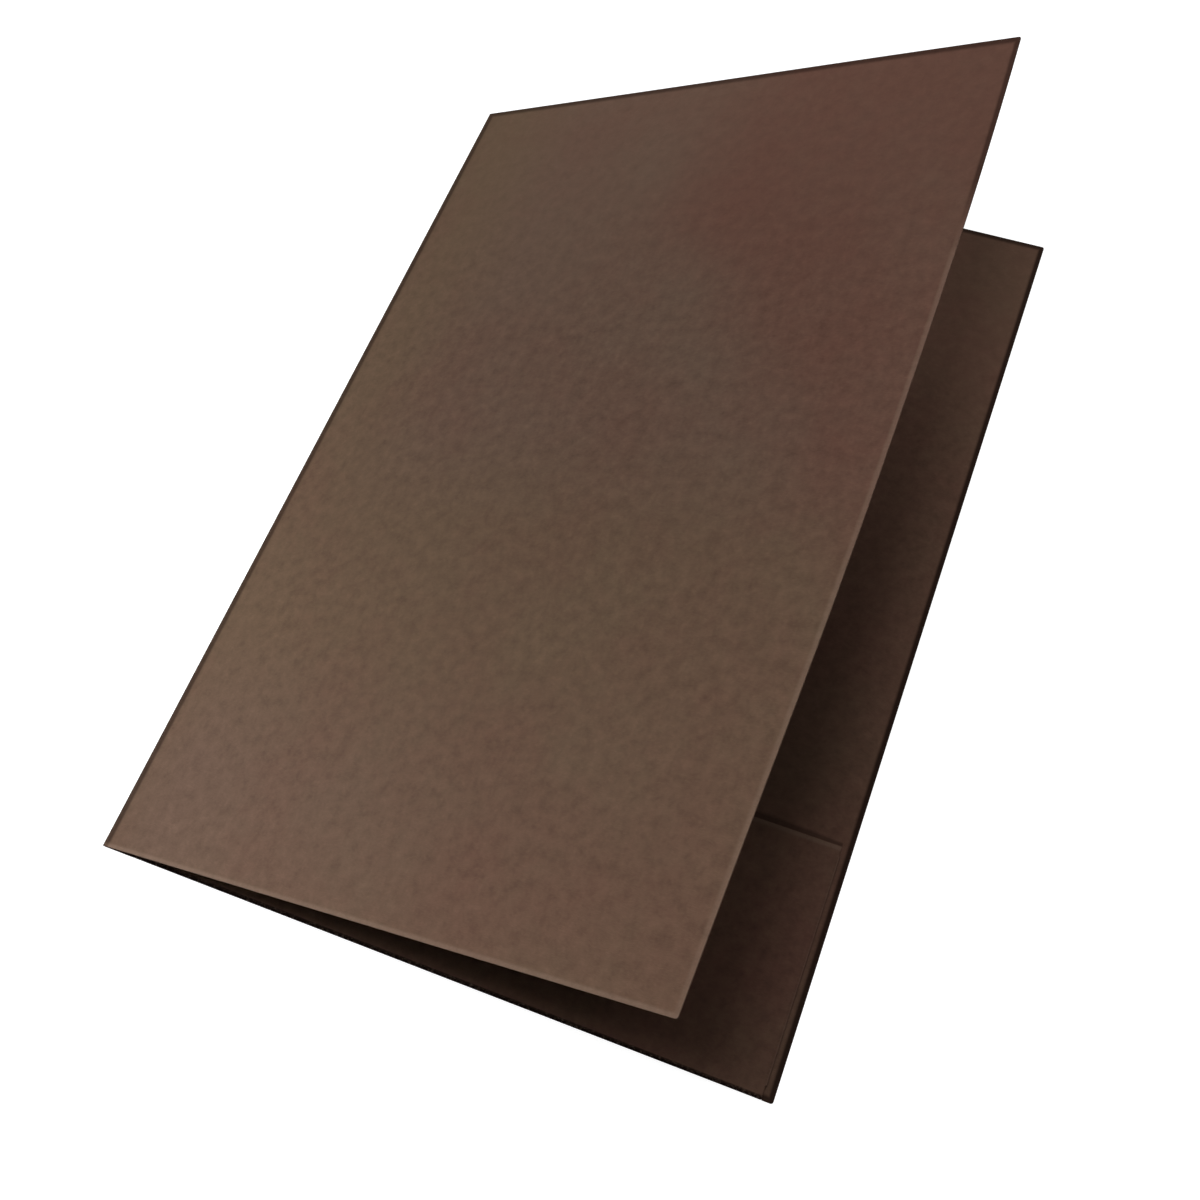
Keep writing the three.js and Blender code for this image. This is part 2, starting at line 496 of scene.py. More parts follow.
def group(name, inputs, outputs):
    """A new shader node group: its inputs as signals by name, and its output node.

    inputs gives each input's default, which is a number, a colour, or nothing for a vector. outputs gives
    each output's kind.
    """
    kinds = {float: "NodeSocketFloat", tuple: "NodeSocketColor", type(None): "NodeSocketVector"}
    tree = bpy.data.node_groups.new(name, "ShaderNodeTree")
    for label, default in inputs.items():
        socket = tree.interface.new_socket(name=label, in_out="INPUT", socket_type=kinds[type(default)])
        if default is not None:
            socket.default_value = default
    for label, kind in outputs.items():
        tree.interface.new_socket(name=label, in_out="OUTPUT", socket_type=kind)
    given = tree.nodes.new("NodeGroupInput")
    return {label: Signal(given.outputs[label]) for label in inputs}, tree.nodes.new("NodeGroupOutput")


def dye_group():
    """Dye and painted light: olive and red tones in slow patches and finer clouds, and mauve in the front
    cover.

    Across is the share of the width out from the spine, and up the share of the half height above the
    middle. The share of the red tone is the patches and the clouds, plus 0.38 of across and 0.3 on the
    back cover's side of the spine, a redder cast there that is painted bounce light between the covers. On
    the front cover's side it is 0.22 of across, 0.35 of across times the square of up above the middle, 0.13
    of across near the foot, and up to 0.58 in the upper free corner, where across and 0.6 of up come to more
    than 0.8. The front cover's ground is mauve by the larger of two shares: at its foot 3.2 of the share
    down, less 1.5, times one less across, and from the middle upwards 0.8, away from the spine. Painted
    light and shade make the front cover lighter towards its top and foot and darker across its middle: its
    shade is 1.11, less 0.03 of up, less 0.07 of across, less one less the square of up, times 0.14 and 0.53
    of across times one less across.
    """
    given, made = group("Uneven dye", {
        "Place": None,
        "Olive Tone": (0.12, 0.08, 0.05, 1),
        "Red Tone": (0.12, 0.06, 0.04, 1),
        "Mauve Tone": (0.12, 0.07, 0.05, 1),
        "Patch Size": 0.055,
        "Width": 0.22,
        "Half Height": 0.155,
    }, {"Color": "NodeSocketColor"})
    place = given["Place"]
    axes = node(place.tree, "ShaderNodeSeparateXYZ", {0: place}).outputs
    out = Signal(axes[0]) / given["Width"]
    across, up = maths("ABSOLUTE", out), Signal(axes[1]) / given["Half Height"]
    back = (out * 5.0 + 0.5).held()
    front = 1.0 - back

    high = larger(up, 0.0)
    corner = spread(across + up * 0.6, 0.8, 0.96, 0.0, 0.58) * spread(across, 0.4, 0.65)
    on_front = across * (high * high * 0.35 + 0.22 + spread(up, -0.6, -0.4, 0.13, 0.0)) + corner
    # On the back cover's side the card is redder: painted bounce light, the warm cast between the brown
    # covers
    on_back = across * 0.38 + 0.3
    often = 1.0 / given["Patch Size"]
    patches = noise(place, often, detail=3.0) * 1.3 - 0.65
    clouds = noise(place, often * 9.0, detail=4.0, roughness=0.6) * 0.45 - 0.225
    red = (on_front * front + on_back * back + patches + clouds).held()

    foot = (up * -3.2 - 1.5).held() * (1.0 - across)
    upper = spread(up, -0.2, 0.05, 0.0, 0.8) * spread(across, 0.08, 0.25)
    ground = mixed(larger(foot, upper) * front, given["Olive Tone"], given["Mauve Tone"])
    toned = mixed(red, ground, given["Red Tone"])

    # Painted light and shade over the front cover: lighter towards its top and foot, darker across its
    # middle
    hollow = (1.0 - up * up) * (across * (1.0 - across) * 0.53 + 0.14)
    faded = (0.11 - up * 0.03 - across * 0.07 - hollow) * front + 1.0
    feed(made, {"Color": mixed(1.0, toned, faded, blend="MULTIPLY")})
    return place.tree


def fibre_group():
    """Paper fibre: threads in three directions over a felt, with soft mottles and sparse flecks.

    The height is that of the felt and the threads. The shade is one, plus the grain times the height's
    distance from its middle, plus the mottling times the mottles' distance from theirs, which is 0.1 less
    in a dark fleck and 0.12 more in a pale one.
    """
    given, made = group(
        "Paper fibre",
        {"Place": None, "Fibre Length": 0.002, "Grain": 0.6, "Mottling": 0.2},
        {"Shade": "NodeSocketFloat", "Height": "NodeSocketFloat"},
    )
    place, fibre_length = given["Place"], given["Fibre Length"]
    tree, often = place.tree, 1.0 / fibre_length
    bend = signal(tree, "ShaderNodeTexNoise", {"Vector": place, "Scale": often * 0.6}, output="Color")
    centred = signal(tree, "ShaderNodeVectorMath", {0: bend, 1: (0.5, 0.5, 0.5)}, operation="SUBTRACT")
    drift = signal(tree, "ShaderNodeVectorMath", {0: centred, "Scale": fibre_length}, operation="SCALE")
    wound = signal(tree, "ShaderNodeVectorMath", {0: place, 1: drift}, operation="ADD")

    threads = None
    for turn in (0.2, 1.25, 2.3):
        layer = noise(wound, often, detail=1.0, stretch=(1, 9, 1), turn=turn)
        threads = layer if threads is None else larger(threads, layer)
    felt = noise(place, often * 2.2) * 0.6 + noise(place, often * 0.45) * 0.4
    height = felt * 0.7 + spread(threads, 0.55, 0.8) * 0.3

    specks = noise(place, often * 1.1, detail=0.0)
    mottles = noise(place, often * 0.5, roughness=0.6) - spread(specks, 0.64, 0.78, 0.5, 0.6)
    mottles = mottles + spread(specks, 0.36, 0.22, 0.0, 0.12)
    shade = (height - 0.42) * given["Grain"] + mottles * given["Mottling"] + 1.0
    feed(made, {"Shade": shade, "Height": height})
    return tree


def wear_group():
    """Marks along edges: raw fibres at cut sides, pale edges from rubbing and painted highlights, and darker
    card as painted shade.

    The input for rubbing and painted light is above nought where an edge is pale, from fingers' rubbing and
    a painted highlight, and below nought where the card is darker, as painted shade along rims, folds,
    slits and the pocket's mouth, and as a press mark at the glue tab's free side. Crease is the burnished
    outside of a fold, with a few raw fibres broken through.
    """
    given, made = group("Edge wear", {
        "Color": (0.12, 0.08, 0.05, 1),
        "Raw Tone": (0.2, 0.15, 0.12, 1),
        "Pressed Tone": (0.009, 0.0045, 0.0035, 1),
        "Cut": 0.0,
        "Crease": 0.0,
        "Rub": 0.0,
        "Place": None,
        "Roughness": 0.86,
    }, {"Color": "NodeSocketColor", "Roughness": "NodeSocketFloat"})
    place = given["Place"]
    torn = noise(place, TORN_OFTEN, detail=3.0, roughness=0.6)
    rub, crease = given["Rub"], given["Crease"]
    # Below nought the card is darker, as painted shade and as the glue tab's press mark; a burnished crease
    # is darker too
    pressed = larger(larger(rub * -1.0, 0.0), crease * 0.3)
    dark = mixed(pressed, given["Color"], given["Pressed Tone"])

    # Pale edges: rubbing together with painted highlights where an edge catches light
    paled = larger(rub, 0.0) * spread(torn, 0.3, 0.7, 0.3, 0.5)
    cut = given["Cut"] * spread(torn, 0.3, 0.7, 0.35, 0.8)
    raw = larger(larger(paled, cut), crease * spread(torn, 0.5, 0.75, 0.0, 0.4))
    rough = (given["Roughness"] + raw * 0.1 - crease * 0.14).held()
    feed(made, {"Color": mixed(raw, dark, given["Raw Tone"]), "Roughness": rough})
    return place.tree


def placed(tree, name, build, values):
    """A shared node group, built the first time that it is asked for, and set into a material."""
    return node(tree, "ShaderNodeGroup", values, node_tree=bpy.data.node_groups.get(name) or build())


def attribute(tree, name, output="Fac"):
    """What a sheet of card remembers under a name."""
    return signal(tree, "ShaderNodeAttribute", output=output, attribute_name=name)


def new_material(name):
    """An empty node material, its tree, and the Principled shader that is joined to its output."""
    material = bpy.data.materials.new(name)
    material.use_nodes = True
    tree = material.node_tree
    tree.nodes.clear()
    shader = node(tree, "ShaderNodeBsdfPrincipled")
    node(tree, "ShaderNodeOutputMaterial", {0: Signal(shader.outputs[0])})
    return material, tree, shader


def card_material(finish):
    """Uncoated dark brown card: uneven dye with painted light and shade, paper fibre in colour and bump,
    and raw fibre at the edges, with painted highlights and painted shade along edges and folds.

    The fibre shows at its full strength up to 0.3 of the half height above the middle, and fades to 0.55 of
    it at 0.7.
    """
    found = bpy.data.materials.get("brown card")
    if found:
        return found
    material, tree, shader = new_material("brown card")
    place = attribute(tree, "card_place", "Vector")
    # The dye carries painted light and shade over the front cover, and painted bounce light on the back
    dye = placed(tree, "Uneven dye", dye_group, {
        "Place": place,
        "Olive Tone": (*finish.olive_tone, 1),
        "Red Tone": (*finish.red_tone, 1),
        "Mauve Tone": (*finish.mauve_tone, 1),
        "Patch Size": finish.patch_size,
        "Width": RUN,
        "Half Height": HALF_HEIGHT,
    })
    up = signal(tree, "ShaderNodeSeparateXYZ", {0: place}, output=1)
    calm = spread(up, 0.3 * HALF_HEIGHT, 0.7 * HALF_HEIGHT, 1.0, 0.55)
    fibre = placed(tree, "Paper fibre", fibre_group, {
        "Place": place,
        "Fibre Length": finish.fibre_length,
        "Grain": calm * finish.grain,
        "Mottling": calm * finish.mottling,
    })
    dyed, shade = Signal(dye.outputs["Color"]), Signal(fibre.outputs["Shade"])
    # Edge marks: raw fibres, rubbing, painted highlights and painted shade
    wear = placed(tree, "Edge wear", wear_group, {
        "Color": mixed(1.0, dyed, shade, blend="MULTIPLY"),
        "Raw Tone": (*finish.raw_tone, 1),
        "Pressed Tone": (*finish.pressed_tone, 1),
        "Cut": attribute(tree, "cut_edge"),
        "Crease": attribute(tree, "crease"),
        "Rub": attribute(tree, "rub"),
        "Place": place,
        "Roughness": finish.roughness,
    })
    felt = {
        "Height": Signal(fibre.outputs["Height"]),
        "Strength": calm * finish.felt_bump,
        "Distance": finish.felt_height,
    }
    feed(shader, {
        "Base Color": Signal(wear.outputs["Color"]),
        "Roughness": Signal(wear.outputs["Roughness"]),
        "Normal": signal(tree, "ShaderNodeBump", felt),
    })
    shader.inputs["Specular IOR Level"].default_value = 0.02
    return material


def glue_material():
    """Dried glue: cream, cloudy and slightly shiny."""
    material, tree, shader = new_material("dried glue")
    cloud = noise(signal(tree, "ShaderNodeTexCoord", output="Object"), GLUE_OFTEN, detail=3.0)
    pale, dark = (*srgb(222, 212, 182), 1), (*srgb(200, 184, 146), 1)
    lumps = {"Height": cloud, "Strength": 0.4, "Distance": 0.0001}
    feed(shader, {
        "Base Color": mixed(spread(cloud, 0.35, 0.65), pale, dark),
        "Roughness": spread(cloud, 0.3, 0.7, 0.3, 0.5),
        "Normal": signal(tree, "ShaderNodeBump", lumps),
    })
    return material


# The pieces


class FOLDER_OT_front_cover(bpy.types.Operator):
    """Make the front cover, which stands open on the spine fold and bows at its free edge"""

    bl_idname = "folder.front_cover"
    bl_label = "Front Cover"

    # How pale or dark each side is, and how wide its mark: the pale is rubbing with a painted highlight
    # along the edge, and the dark is painted shade
    free_pale, free_pale_width = 0.6, 0.002
    foot_pale, foot_width = 0.95, 0.0017
    dark, free_dark_width, top_width, fold_width = 0.62, 0.0021, 0.0028, 0.003

    # Where up the free edge its mark begins to turn dark, and over how long a stretch, in half heights
    turn_start, turn_stretch = 0.45, 0.2

    def execute(self, context):
        sizes = context.scene.folder_sizes

        def place(u, v, d):
            """Along the opened leaf by u, and off it by the fold's radius less the depth, the bow and the
            ripple.

            The bow is the square of the share of the run, times one less the square of the share of the
            half height, times one and the skew's share of it. The ripple is two crossed slow waves, which
            fade out towards the fold.
            """
            across, along = u / RUN, v / HALF_HEIGHT
            bow = sizes.bow * across**2 * (1 - along**2) * (1 + sizes.bow_skew * along)
            waves = np.sin(5.1 * across + 3.7 * along + 0.6) + 0.6 * np.sin(2.9 * across - 7.3 * along)
            off = SPINE_RADIUS - d - bow + sizes.ripple * waves * across**2
            x = HINGE.x + u * math.cos(OPENING) - off * math.sin(OPENING)
            z = HINGE.z + u * math.sin(OPENING) + off * math.cos(OPENING)
            return x, v, z

        def wear(u, v):
            """Pale at the foot and up the free edge, from rubbing and a painted highlight, and darker
            at the top and by the fold, as painted shade.

            Near its top the free edge turns from pale to dark. The value for rubbing and painted light is
            the pale's part that the dark leaves, less the dark.
            """
            high = np.clip((v / HALF_HEIGHT - self.turn_start) / self.turn_stretch, 0, 1)
            free = self.free_pale * strip(RUN - u, self.free_pale_width) * (1 - high)
            pale = np.maximum(free, self.foot_pale * strip(v + HALF_HEIGHT, self.foot_width))
            ends = np.maximum(strip(v - HALF_HEIGHT, self.top_width), strip(u, self.fold_width, full=0.5))
            free_top = strip(RUN - u, self.free_dark_width, full=0.5) * high
            dark = self.dark * np.maximum(free_top, ends)
            return strip(u, CREASE_REACH), pale * (1 - dark) - dark

        formulas = place, lambda u, v: (-SPINE_ARC - u, v), wear
        grid = lines(HINGE_GAP, RUN, GRID), lines(-HALF_HEIGHT, HALF_HEIGHT, GRID)
        piece = sheet("front_leaf", formulas, grid, (0, 1, 1, 1), sizes)
        dress(piece, "front_cover", "front")
        return {"FINISHED"}


class FOLDER_OT_back_cover(bpy.types.Operator):
    """Make the back cover, cut back at its foot where the pocket's fold begins"""

    bl_idname = "folder.back_cover"
    bl_label = "Back Cover"

    # The length of the ramp at each end of the cut-back foot
    ramp = 0.0002

    # How dark the painted shade is along the ends, the free side and the side by the fold, and how dark the
    # painted shadow along the pocket's mouth is
    end_dark, free_dark, fold_dark, rub_dark = 0.75, 0.85, 0.5, 0.5
    free_width = 0.0022

    # The stretch over which the painted shadow along the mouth begins, how wide it is at least and at most
    # and how fast it widens, and the closer grid lines that carry it, measured from the mouth
    rub_start = 0.004
    rub_least, rub_most, rub_widening = 0.0011, 0.0025, 0.07
    mouth_lines = np.array([-0.5, -0.4, 0, 0.4, 0.8, 1.2, 1.8, 2.4, 3]) / 1000

    def execute(self, context):
        sizes = context.scene.folder_sizes

        def in_fold(u):
            """One between the ends of the pocket's fold and nought beyond, with a short ramp at each end."""
            x = HINGE.x + u
            begun = np.clip((x - FOOT_LOW.x) / self.ramp + 0.5, 0, 1)
            return begun * np.clip((FOOT_HIGH.x - x) / self.ramp + 0.5, 0, 1)

        def place(u, v, d):
            """Flat, with its outer face down. Between the ends of the pocket's fold the foot is cut back."""
            foot = -HALF_HEIGHT + in_fold(u) * (FOOT_HIGH.y + HALF_HEIGHT)
            share = (v + HALF_HEIGHT) / (2 * HALF_HEIGHT)
            return HINGE.x + u, foot + share * (HALF_HEIGHT - foot), BACK_LOW.z + d

        def wear(u, v):
            """Painted shade along the cut sides and spine fold, and painted shadow by the pocket's mouth."""
            ends = np.maximum(strip(v - HALF_HEIGHT), strip(v + HALF_HEIGHT) * (1 - in_fold(u)))
            free, fold = strip(RUN - u, self.free_width, full=0.5), strip(u)
            begun = np.clip((HINGE.x + u - PANEL_LOW.x - sizes.taper) / self.rub_start, 0, 1)
            inwards = PANEL_HIGH.x - HINGE.x - u
            reach = np.clip(self.rub_least + self.rub_widening * inwards, self.rub_least, self.rub_most)
            # A painted shadow beside the pocket's mouth, wider away from the pocket's outer side
            mouth = strip(v - PANEL_HIGH.y, reach) * (v > PANEL_HIGH.y - CARD) * begun * in_fold(u)
            sides = np.maximum(self.free_dark * free, self.fold_dark * fold)
            dark = np.maximum(np.maximum(self.end_dark * ends, sides), self.rub_dark * mouth)
            return strip(u, CREASE_REACH), -dark

        ends = np.array([FOOT_LOW.x, FOOT_HIGH.x]) - HINGE.x
        notches = (ends[:, None] + self.ramp * np.array([-0.5, 0.5])).ravel()
        across = np.unique(np.concatenate([lines(HINGE_GAP, RUN, GRID), notches]))
        beside_mouth = PANEL_HIGH.y + self.mouth_lines
        up = np.unique(np.concatenate([lines(-HALF_HEIGHT, HALF_HEIGHT, GRID), beside_mouth]))
        formulas = place, lambda u, v: (u, v), wear
        piece = sheet("back_leaf", formulas, (across, up), (0, 1, 1, 1), sizes)
        dress(piece, "back_cover", "back")
        return {"FINISHED"}


class FOLDER_OT_spine_fold(bpy.types.Operator):
    """Make the spine fold, round the hinge from the back cover to the front cover"""

    bl_idname = "folder.spine_fold"
    bl_label = "Spine Fold"

    def execute(self, context):
        sizes = context.scene.folder_sizes
        turn = math.pi - OPENING

        def place(u, v, d):
            """Round the hinge from the back cover to the front one, with a bead raised on the inside.

            The angle falls from straight down to the front cover's own by the share of the arc, and the
            bead is the square of one less the square of the distance from the arc's middle.
            """
            share = u / SPINE_ARC
            angle = 1.5 * math.pi - share * turn
            bead = sizes.fold_bead * (d / CARD) * (1 - (2 * share - 1) ** 2) ** 2
            radius = SPINE_RADIUS - d - bead
            return HINGE.x + radius * np.cos(angle), v, HINGE.z + radius * np.sin(angle)

        # The whole fold is darker, as painted shade on the crease
        formulas = place, lambda u, v: (-u, v), even_wear(crease=1, rub=-0.55)
        grid = np.linspace(0, SPINE_ARC, FOLD_STEPS + 1), lines(-HALF_HEIGHT, HALF_HEIGHT, GRID)
        piece = sheet("spine_crease", formulas, grid, (0, 0, 1, 1), sizes)
        dress(piece, "spine_fold", None)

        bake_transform(piece)
        return {"FINISHED"}


def slit_frames(sizes):
    """The middles, directions and outward directions of the slits that hold a card, and half their length.

    The card is centred on the pocket. Each slit crosses one of its corners, from the slit's reach in along
    one side to the same reach in along the other, and outwards is towards the corner.
    """
    middle = np.array([(PANEL_LOW.x + PANEL_HIGH.x) / 2, (PANEL_LOW.y + PANEL_HIGH.y) / 2])
    right, up = np.array([-1, 1, 1, -1]), np.array([-1, -1, 1, 1])
    signs = np.stack([right, up], axis=-1)
    corners = middle + signs * np.array([sizes.visiting_width, sizes.visiting_height]) / 2
    middles = corners - signs * sizes.slit_reach / 2
    along = np.stack([-right, up], axis=-1) / math.sqrt(2)
    outward = signs / math.sqrt(2)
    return middles, along, outward, sizes.slit_reach / math.sqrt(2) + sizes.slit_overrun


def slit_lips(points, sizes):
    """How far the card at each point stands up beside a slit, and how dark the painted shade is there.

    A corner lip rises by one less the square of the share along the slit, dying away outwards from it.
    """
    raised, dark = np.zeros(len(points)), np.zeros(len(points))
    *frames, half = slit_frames(sizes)
    for middle, along, outward in zip(*frames):
        from_middle = points[:, :2] - middle
        share = np.clip(np.abs(from_middle @ along) / half, 0, 1)
        out = from_middle @ outward
        raised += (out > 0) * sizes.lip_lift * (1 - share**2) * np.exp(-out / sizes.slit_reach * 2)
        # Painted shade along the corner side of the slit
        dark += SLIT_DARK * strip(out, SLIT_MARK) * (share < 1)
    return raised, dark


def slit_cutters(sizes):
    """Four upright blades with round ends, as wide as the slits and taller than the card."""
    middles, along, outward, half = slit_frames(sizes)
    angle = np.linspace(-math.pi / 2, 1.5 * math.pi, BLADE_SIDES, endpoint=False) + math.pi / BLADE_SIDES
    ahead = np.cos(angle)
    run = np.sign(ahead) * half + ahead * sizes.slit_width / 2
    side = np.sin(angle) * sizes.slit_width / 2
    ring = middles[:, None] + run[None, :, None] * along[:, None] + side[None, :, None] * outward[:, None]
    count = ring.shape[1]
    low, high = PANEL_LOW.z - CARD, PANEL_HIGH.z + 3 * CARD
    points = np.concatenate([np.dstack([ring, np.full(ring.shape[:2], z)]) for z in (low, high)], axis=1)
    step = np.arange(count)
    walls = np.stack([step, np.roll(step, -1), np.roll(step, -1) + count, step + count], axis=-1)
    faces = []
    for start in np.arange(4) * 2 * count:
        faces += (start + walls).tolist()
        faces += [(start + step[::-1]).tolist(), (start + count + step).tolist()]
    mesh = bpy.data.meshes.new("slit cutters")
    mesh.from_pydata(points.reshape(-1, 3).tolist(), [], faces)
    return show("slit cutters", mesh)


def cut_away(piece, cutter):
    """Cuts the cutter's shape out of a piece, and takes the cutter away."""
    modifier = piece.modifiers.new("cut", "BOOLEAN")
    modifier.operation = "DIFFERENCE"
    modifier.solver = "EXACT"
    modifier.object = cutter
    depsgraph = bpy.context.evaluated_depsgraph_get()
    mesh = bpy.data.meshes.new_from_object(piece.evaluated_get(depsgraph))
    piece.modifiers.clear()
    piece.data = mesh
    bpy.data.objects.remove(cutter)


class FOLDER_OT_pocket(bpy.types.Operator):
    """Make the pocket's front, folded up from the foot of the back cover, with its four card slits"""

    bl_idname = "folder.pocket"
    bl_label = "Pocket"

    # How pale the mouth is, from rubbing and a painted highlight, and how dark the painted shade along the
    # foot is, how wide each mark is, and how creased the side is
    mouth_pale, mouth_width = 0.6, 0.0018
    foot_dark, foot_width = 0.85, 0.0007
    side_crease = 0.3

    def execute(self, context):
        sizes = context.scene.folder_sizes
        width, height = PANEL_HIGH.x - PANEL_LOW.x, PANEL_HIGH.y - PANEL_LOW.y

        def inner_side(v):
            """The x of the pocket's inner side, which leans away from the spine."""
            return PANEL_LOW.x + sizes.taper * (v - PANEL_LOW.y) / height

        def lift(u, v):
            """How far the card springs up: the square of the share up, dying away to nought at both sides.

            Each side takes off the fourth power of the share of the way to it.
            """
            share, rise = (u - PANEL_LOW.x) / width, (v - PANEL_LOW.y) / height
            return sizes.mouth_lift * rise**2 * (1 - share**4) * (1 - (1 - share) ** 4)

        def place(u, v, d):
            """Flat over the tab, drawn in from its inner side, and sprung up a little at its mouth."""
            x = inner_side(v) + (u - PANEL_LOW.x) / width * (PANEL_HIGH.x - inner_side(v))
            return x, v, PANEL_HIGH.z - d + lift(u, v)

        def wear(u, v):
            """Pale at the mouth from rubbing and a painted highlight, painted shade at the foot, and creased
            along the foot and the outer side.
            """
            side, foot = u - PANEL_HIGH.x, v - PANEL_LOW.y
            crease = np.maximum(self.side_crease * strip(side, CREASE_REACH), strip(foot, CREASE_REACH))
            pale = self.mouth_pale * strip(v - PANEL_HIGH.y, self.mouth_width)
            return crease, pale - self.foot_dark * strip(foot, self.foot_width)

        def flat(u, v):
            """Where the pocket's front lies on the flat card, folded out below the back cover."""
            return u - HINGE.x, -2 * HALF_HEIGHT - FOOT_ARC - v

        cut = (1, 0, 0, 1)
        grid = lines(PANEL_LOW.x, PANEL_HIGH.x, FINE_GRID), lines(PANEL_LOW.y, PANEL_HIGH.y, FINE_GRID)
        piece = sheet("pocket_front", (place, flat, wear), grid, cut, sizes)
        cut_away(piece, slit_cutters(sizes))

        # The cut gives the card new points, so it is marked again from their places.
        mesh = piece.data
        points = np.empty(len(mesh.vertices) * 3, dtype=np.float32)
        mesh.vertices.foreach_get("co", points)
        points = points.reshape(-1, 3)
        x, v, z = points.T.astype(float)
        u = PANEL_LOW.x + (x - inner_side(v)) / (PANEL_HIGH.x - inner_side(v)) * width
        raised, dark = slit_lips(points, sizes)
        crease, rub = wear(u, v)
        at = u, v, PANEL_HIGH.z + lift(u, v) - z
        # Beside the slits the card takes painted shade
        mark(mesh, at, (PANEL_LOW, PANEL_HIGH, cut), flat(u, v), (crease, rub - dark))
        points[:, 2] += raised
        mesh.vertices.foreach_set("co", points.ravel())
        mesh.update()
        smooth(mesh)
        dress(piece, "pocket_panel", "back")
        return {"FINISHED"}


class FOLDER_OT_pocket_folds(bpy.types.Operator):
    """Make the folds along the pocket's foot and its outer side"""

    bl_idname = "folder.pocket_folds"
    bl_label = "Pocket Folds"

    def execute(self, context):
        sizes = context.scene.folder_sizes

        def half_turn(share, radius):
            """A half turn upwards: out by the radius times its sine, and up by less its cosine."""
            return radius * np.sin(math.pi * share), -radius * np.cos(math.pi * share)

        def foot_place(u, v, d):
            """In the plane across the foot, from the back cover round to the pocket's front."""
            out, rise = half_turn(v / FOOT_ARC, FOOT_RADIUS - d)
            return u, FOOT_HIGH.y - out, (FOOT_LOW.z + FOOT_HIGH.z) / 2 + rise

        # The whole foot fold is darker, as painted shade
        formulas = foot_place, lambda u, v: (u - HINGE.x, -HALF_HEIGHT - v), even_wear(crease=1, rub=-1)
        grid = lines(FOOT_LOW.x, FOOT_HIGH.x, GRID), np.linspace(0, FOOT_ARC, FOLD_STEPS + 1)
        foot = sheet("pocket_foot_crease", formulas, grid, (1, 1, 0, 0), sizes)
        dress(foot, "pocket_bottom_fold", "back")

        def side_place(u, v, d):
            """In the plane across the side, from the glue tab round to the pocket's front."""
            out, rise = half_turn(u / SIDE_ARC, SIDE_RADIUS - d)
            return SIDE_LOW.x + out, v, (SIDE_LOW.z + SIDE_HIGH.z) / 2 + rise

        def side_flat(u, v):
            """Beyond the pocket's front on the flat card."""
            return SIDE_LOW.x - HINGE.x + SIDE_ARC - u, -2 * HALF_HEIGHT - FOOT_ARC - v

        grid = np.linspace(0, SIDE_ARC, FOLD_STEPS + 1), lines(SIDE_LOW.y, SIDE_HIGH.y, GRID)
        # The whole side fold is paler, as a painted highlight along the fold, with a little rubbing
        formulas = side_place, side_flat, even_wear(crease=0.1, rub=0.35)
        side = sheet("pocket_side_crease", formulas, grid, (0, 0, 1, 1), sizes)
        dress(side, "pocket_side_fold", "back")
        return {"FINISHED"}


class FOLDER_OT_glue_tab(bpy.types.Operator):
    """Make the glue tab and the line of glue that holds it to the back cover"""

    bl_idname = "folder.glue_tab"
    bl_label = "Glue Tab"

    def execute(self, context):
        sizes = context.scene.folder_sizes
        middle = (TAB_LOW.y + TAB_HIGH.y) / 2
        half = (TAB_HIGH.y - TAB_LOW.y) / 2

        def place(u, v, d):
            """Flat, with its outer face down on the glue. Both ends are cut back towards the free side."""
            back = sizes.tab_slope * (TAB_HIGH.x - u) / (TAB_HIGH.x - TAB_LOW.x)
            return u, middle + (v - middle) * (half - back) / half, TAB_LOW.z + d

        def flat(u, v):
            """Beyond the pocket's side fold on the flat card."""
            return 2 * TAB_HIGH.x - HINGE.x + SIDE_ARC - u, -2 * HALF_HEIGHT - FOOT_ARC - v

        def wear(u, v):
            """Creased along the fold, and pressed a little dark at the free side."""
            return strip(u - TAB_HIGH.x, CREASE_REACH), -0.3 * strip(u - TAB_LOW.x)

        grid = lines(TAB_LOW.x, TAB_HIGH.x, GRID), lines(TAB_LOW.y, TAB_HIGH.y, GRID)
        tab = sheet("pocket_tab", (place, flat, wear), grid, (1, 0, 1, 1), sizes)
        dress(tab, "pocket_glue_tab", "back")

        thickness = GLUE_HIGH.z - GLUE_LOW.z
        centre = (GLUE_LOW.x + GLUE_HIGH.x) / 2

        def glue_place(u, v, d):
            """Flat, with sides that swell and draw in along its length as two crossed waves."""
            swell = 0.9 + 0.06 * np.sin(v * 410) + 0.04 * np.sin(v * 930 + 1)
            return centre + (u - centre) * swell, v, GLUE_HIGH.z - d

        formulas = glue_place, lambda u, v: (u, v), even_wear(crease=0, rub=0)
        grid = lines(GLUE_LOW.x, GLUE_HIGH.x, GRID), lines(GLUE_LOW.y, GLUE_HIGH.y, FINE_GRID)
        glue = sheet("glue_line", formulas, grid, (1, 1, 1, 1), sizes, thickness)
        dress(glue, "pocket_glue", "back", slot="glue")
        return {"FINISHED"}


def floor_material(colour, glow, near, far):
    """A pale floor that keeps shadows, and that looks white to the camera where the light on it is open.

    Its glow rises to a full white from near to far out, where no shadow falls and the lamps are weaker.
    """
    material, tree, shader = new_material("studio floor")
    place = signal(tree, "ShaderNodeTexCoord", output="Object")
    distance = signal(tree, "ShaderNodeVectorMath", {0: place}, output="Value", operation="LENGTH")
    feed(shader, {
        "Base Color": (*colour, 1),
        "Roughness": 1.0,
        "Emission Color": (1, 1, 1, 1),
        "Emission Strength": seen_directly(tree) * spread(distance, near, far, glow, 1.0),
    })
    shader.inputs["Specular IOR Level"].default_value = 0.0
    return material


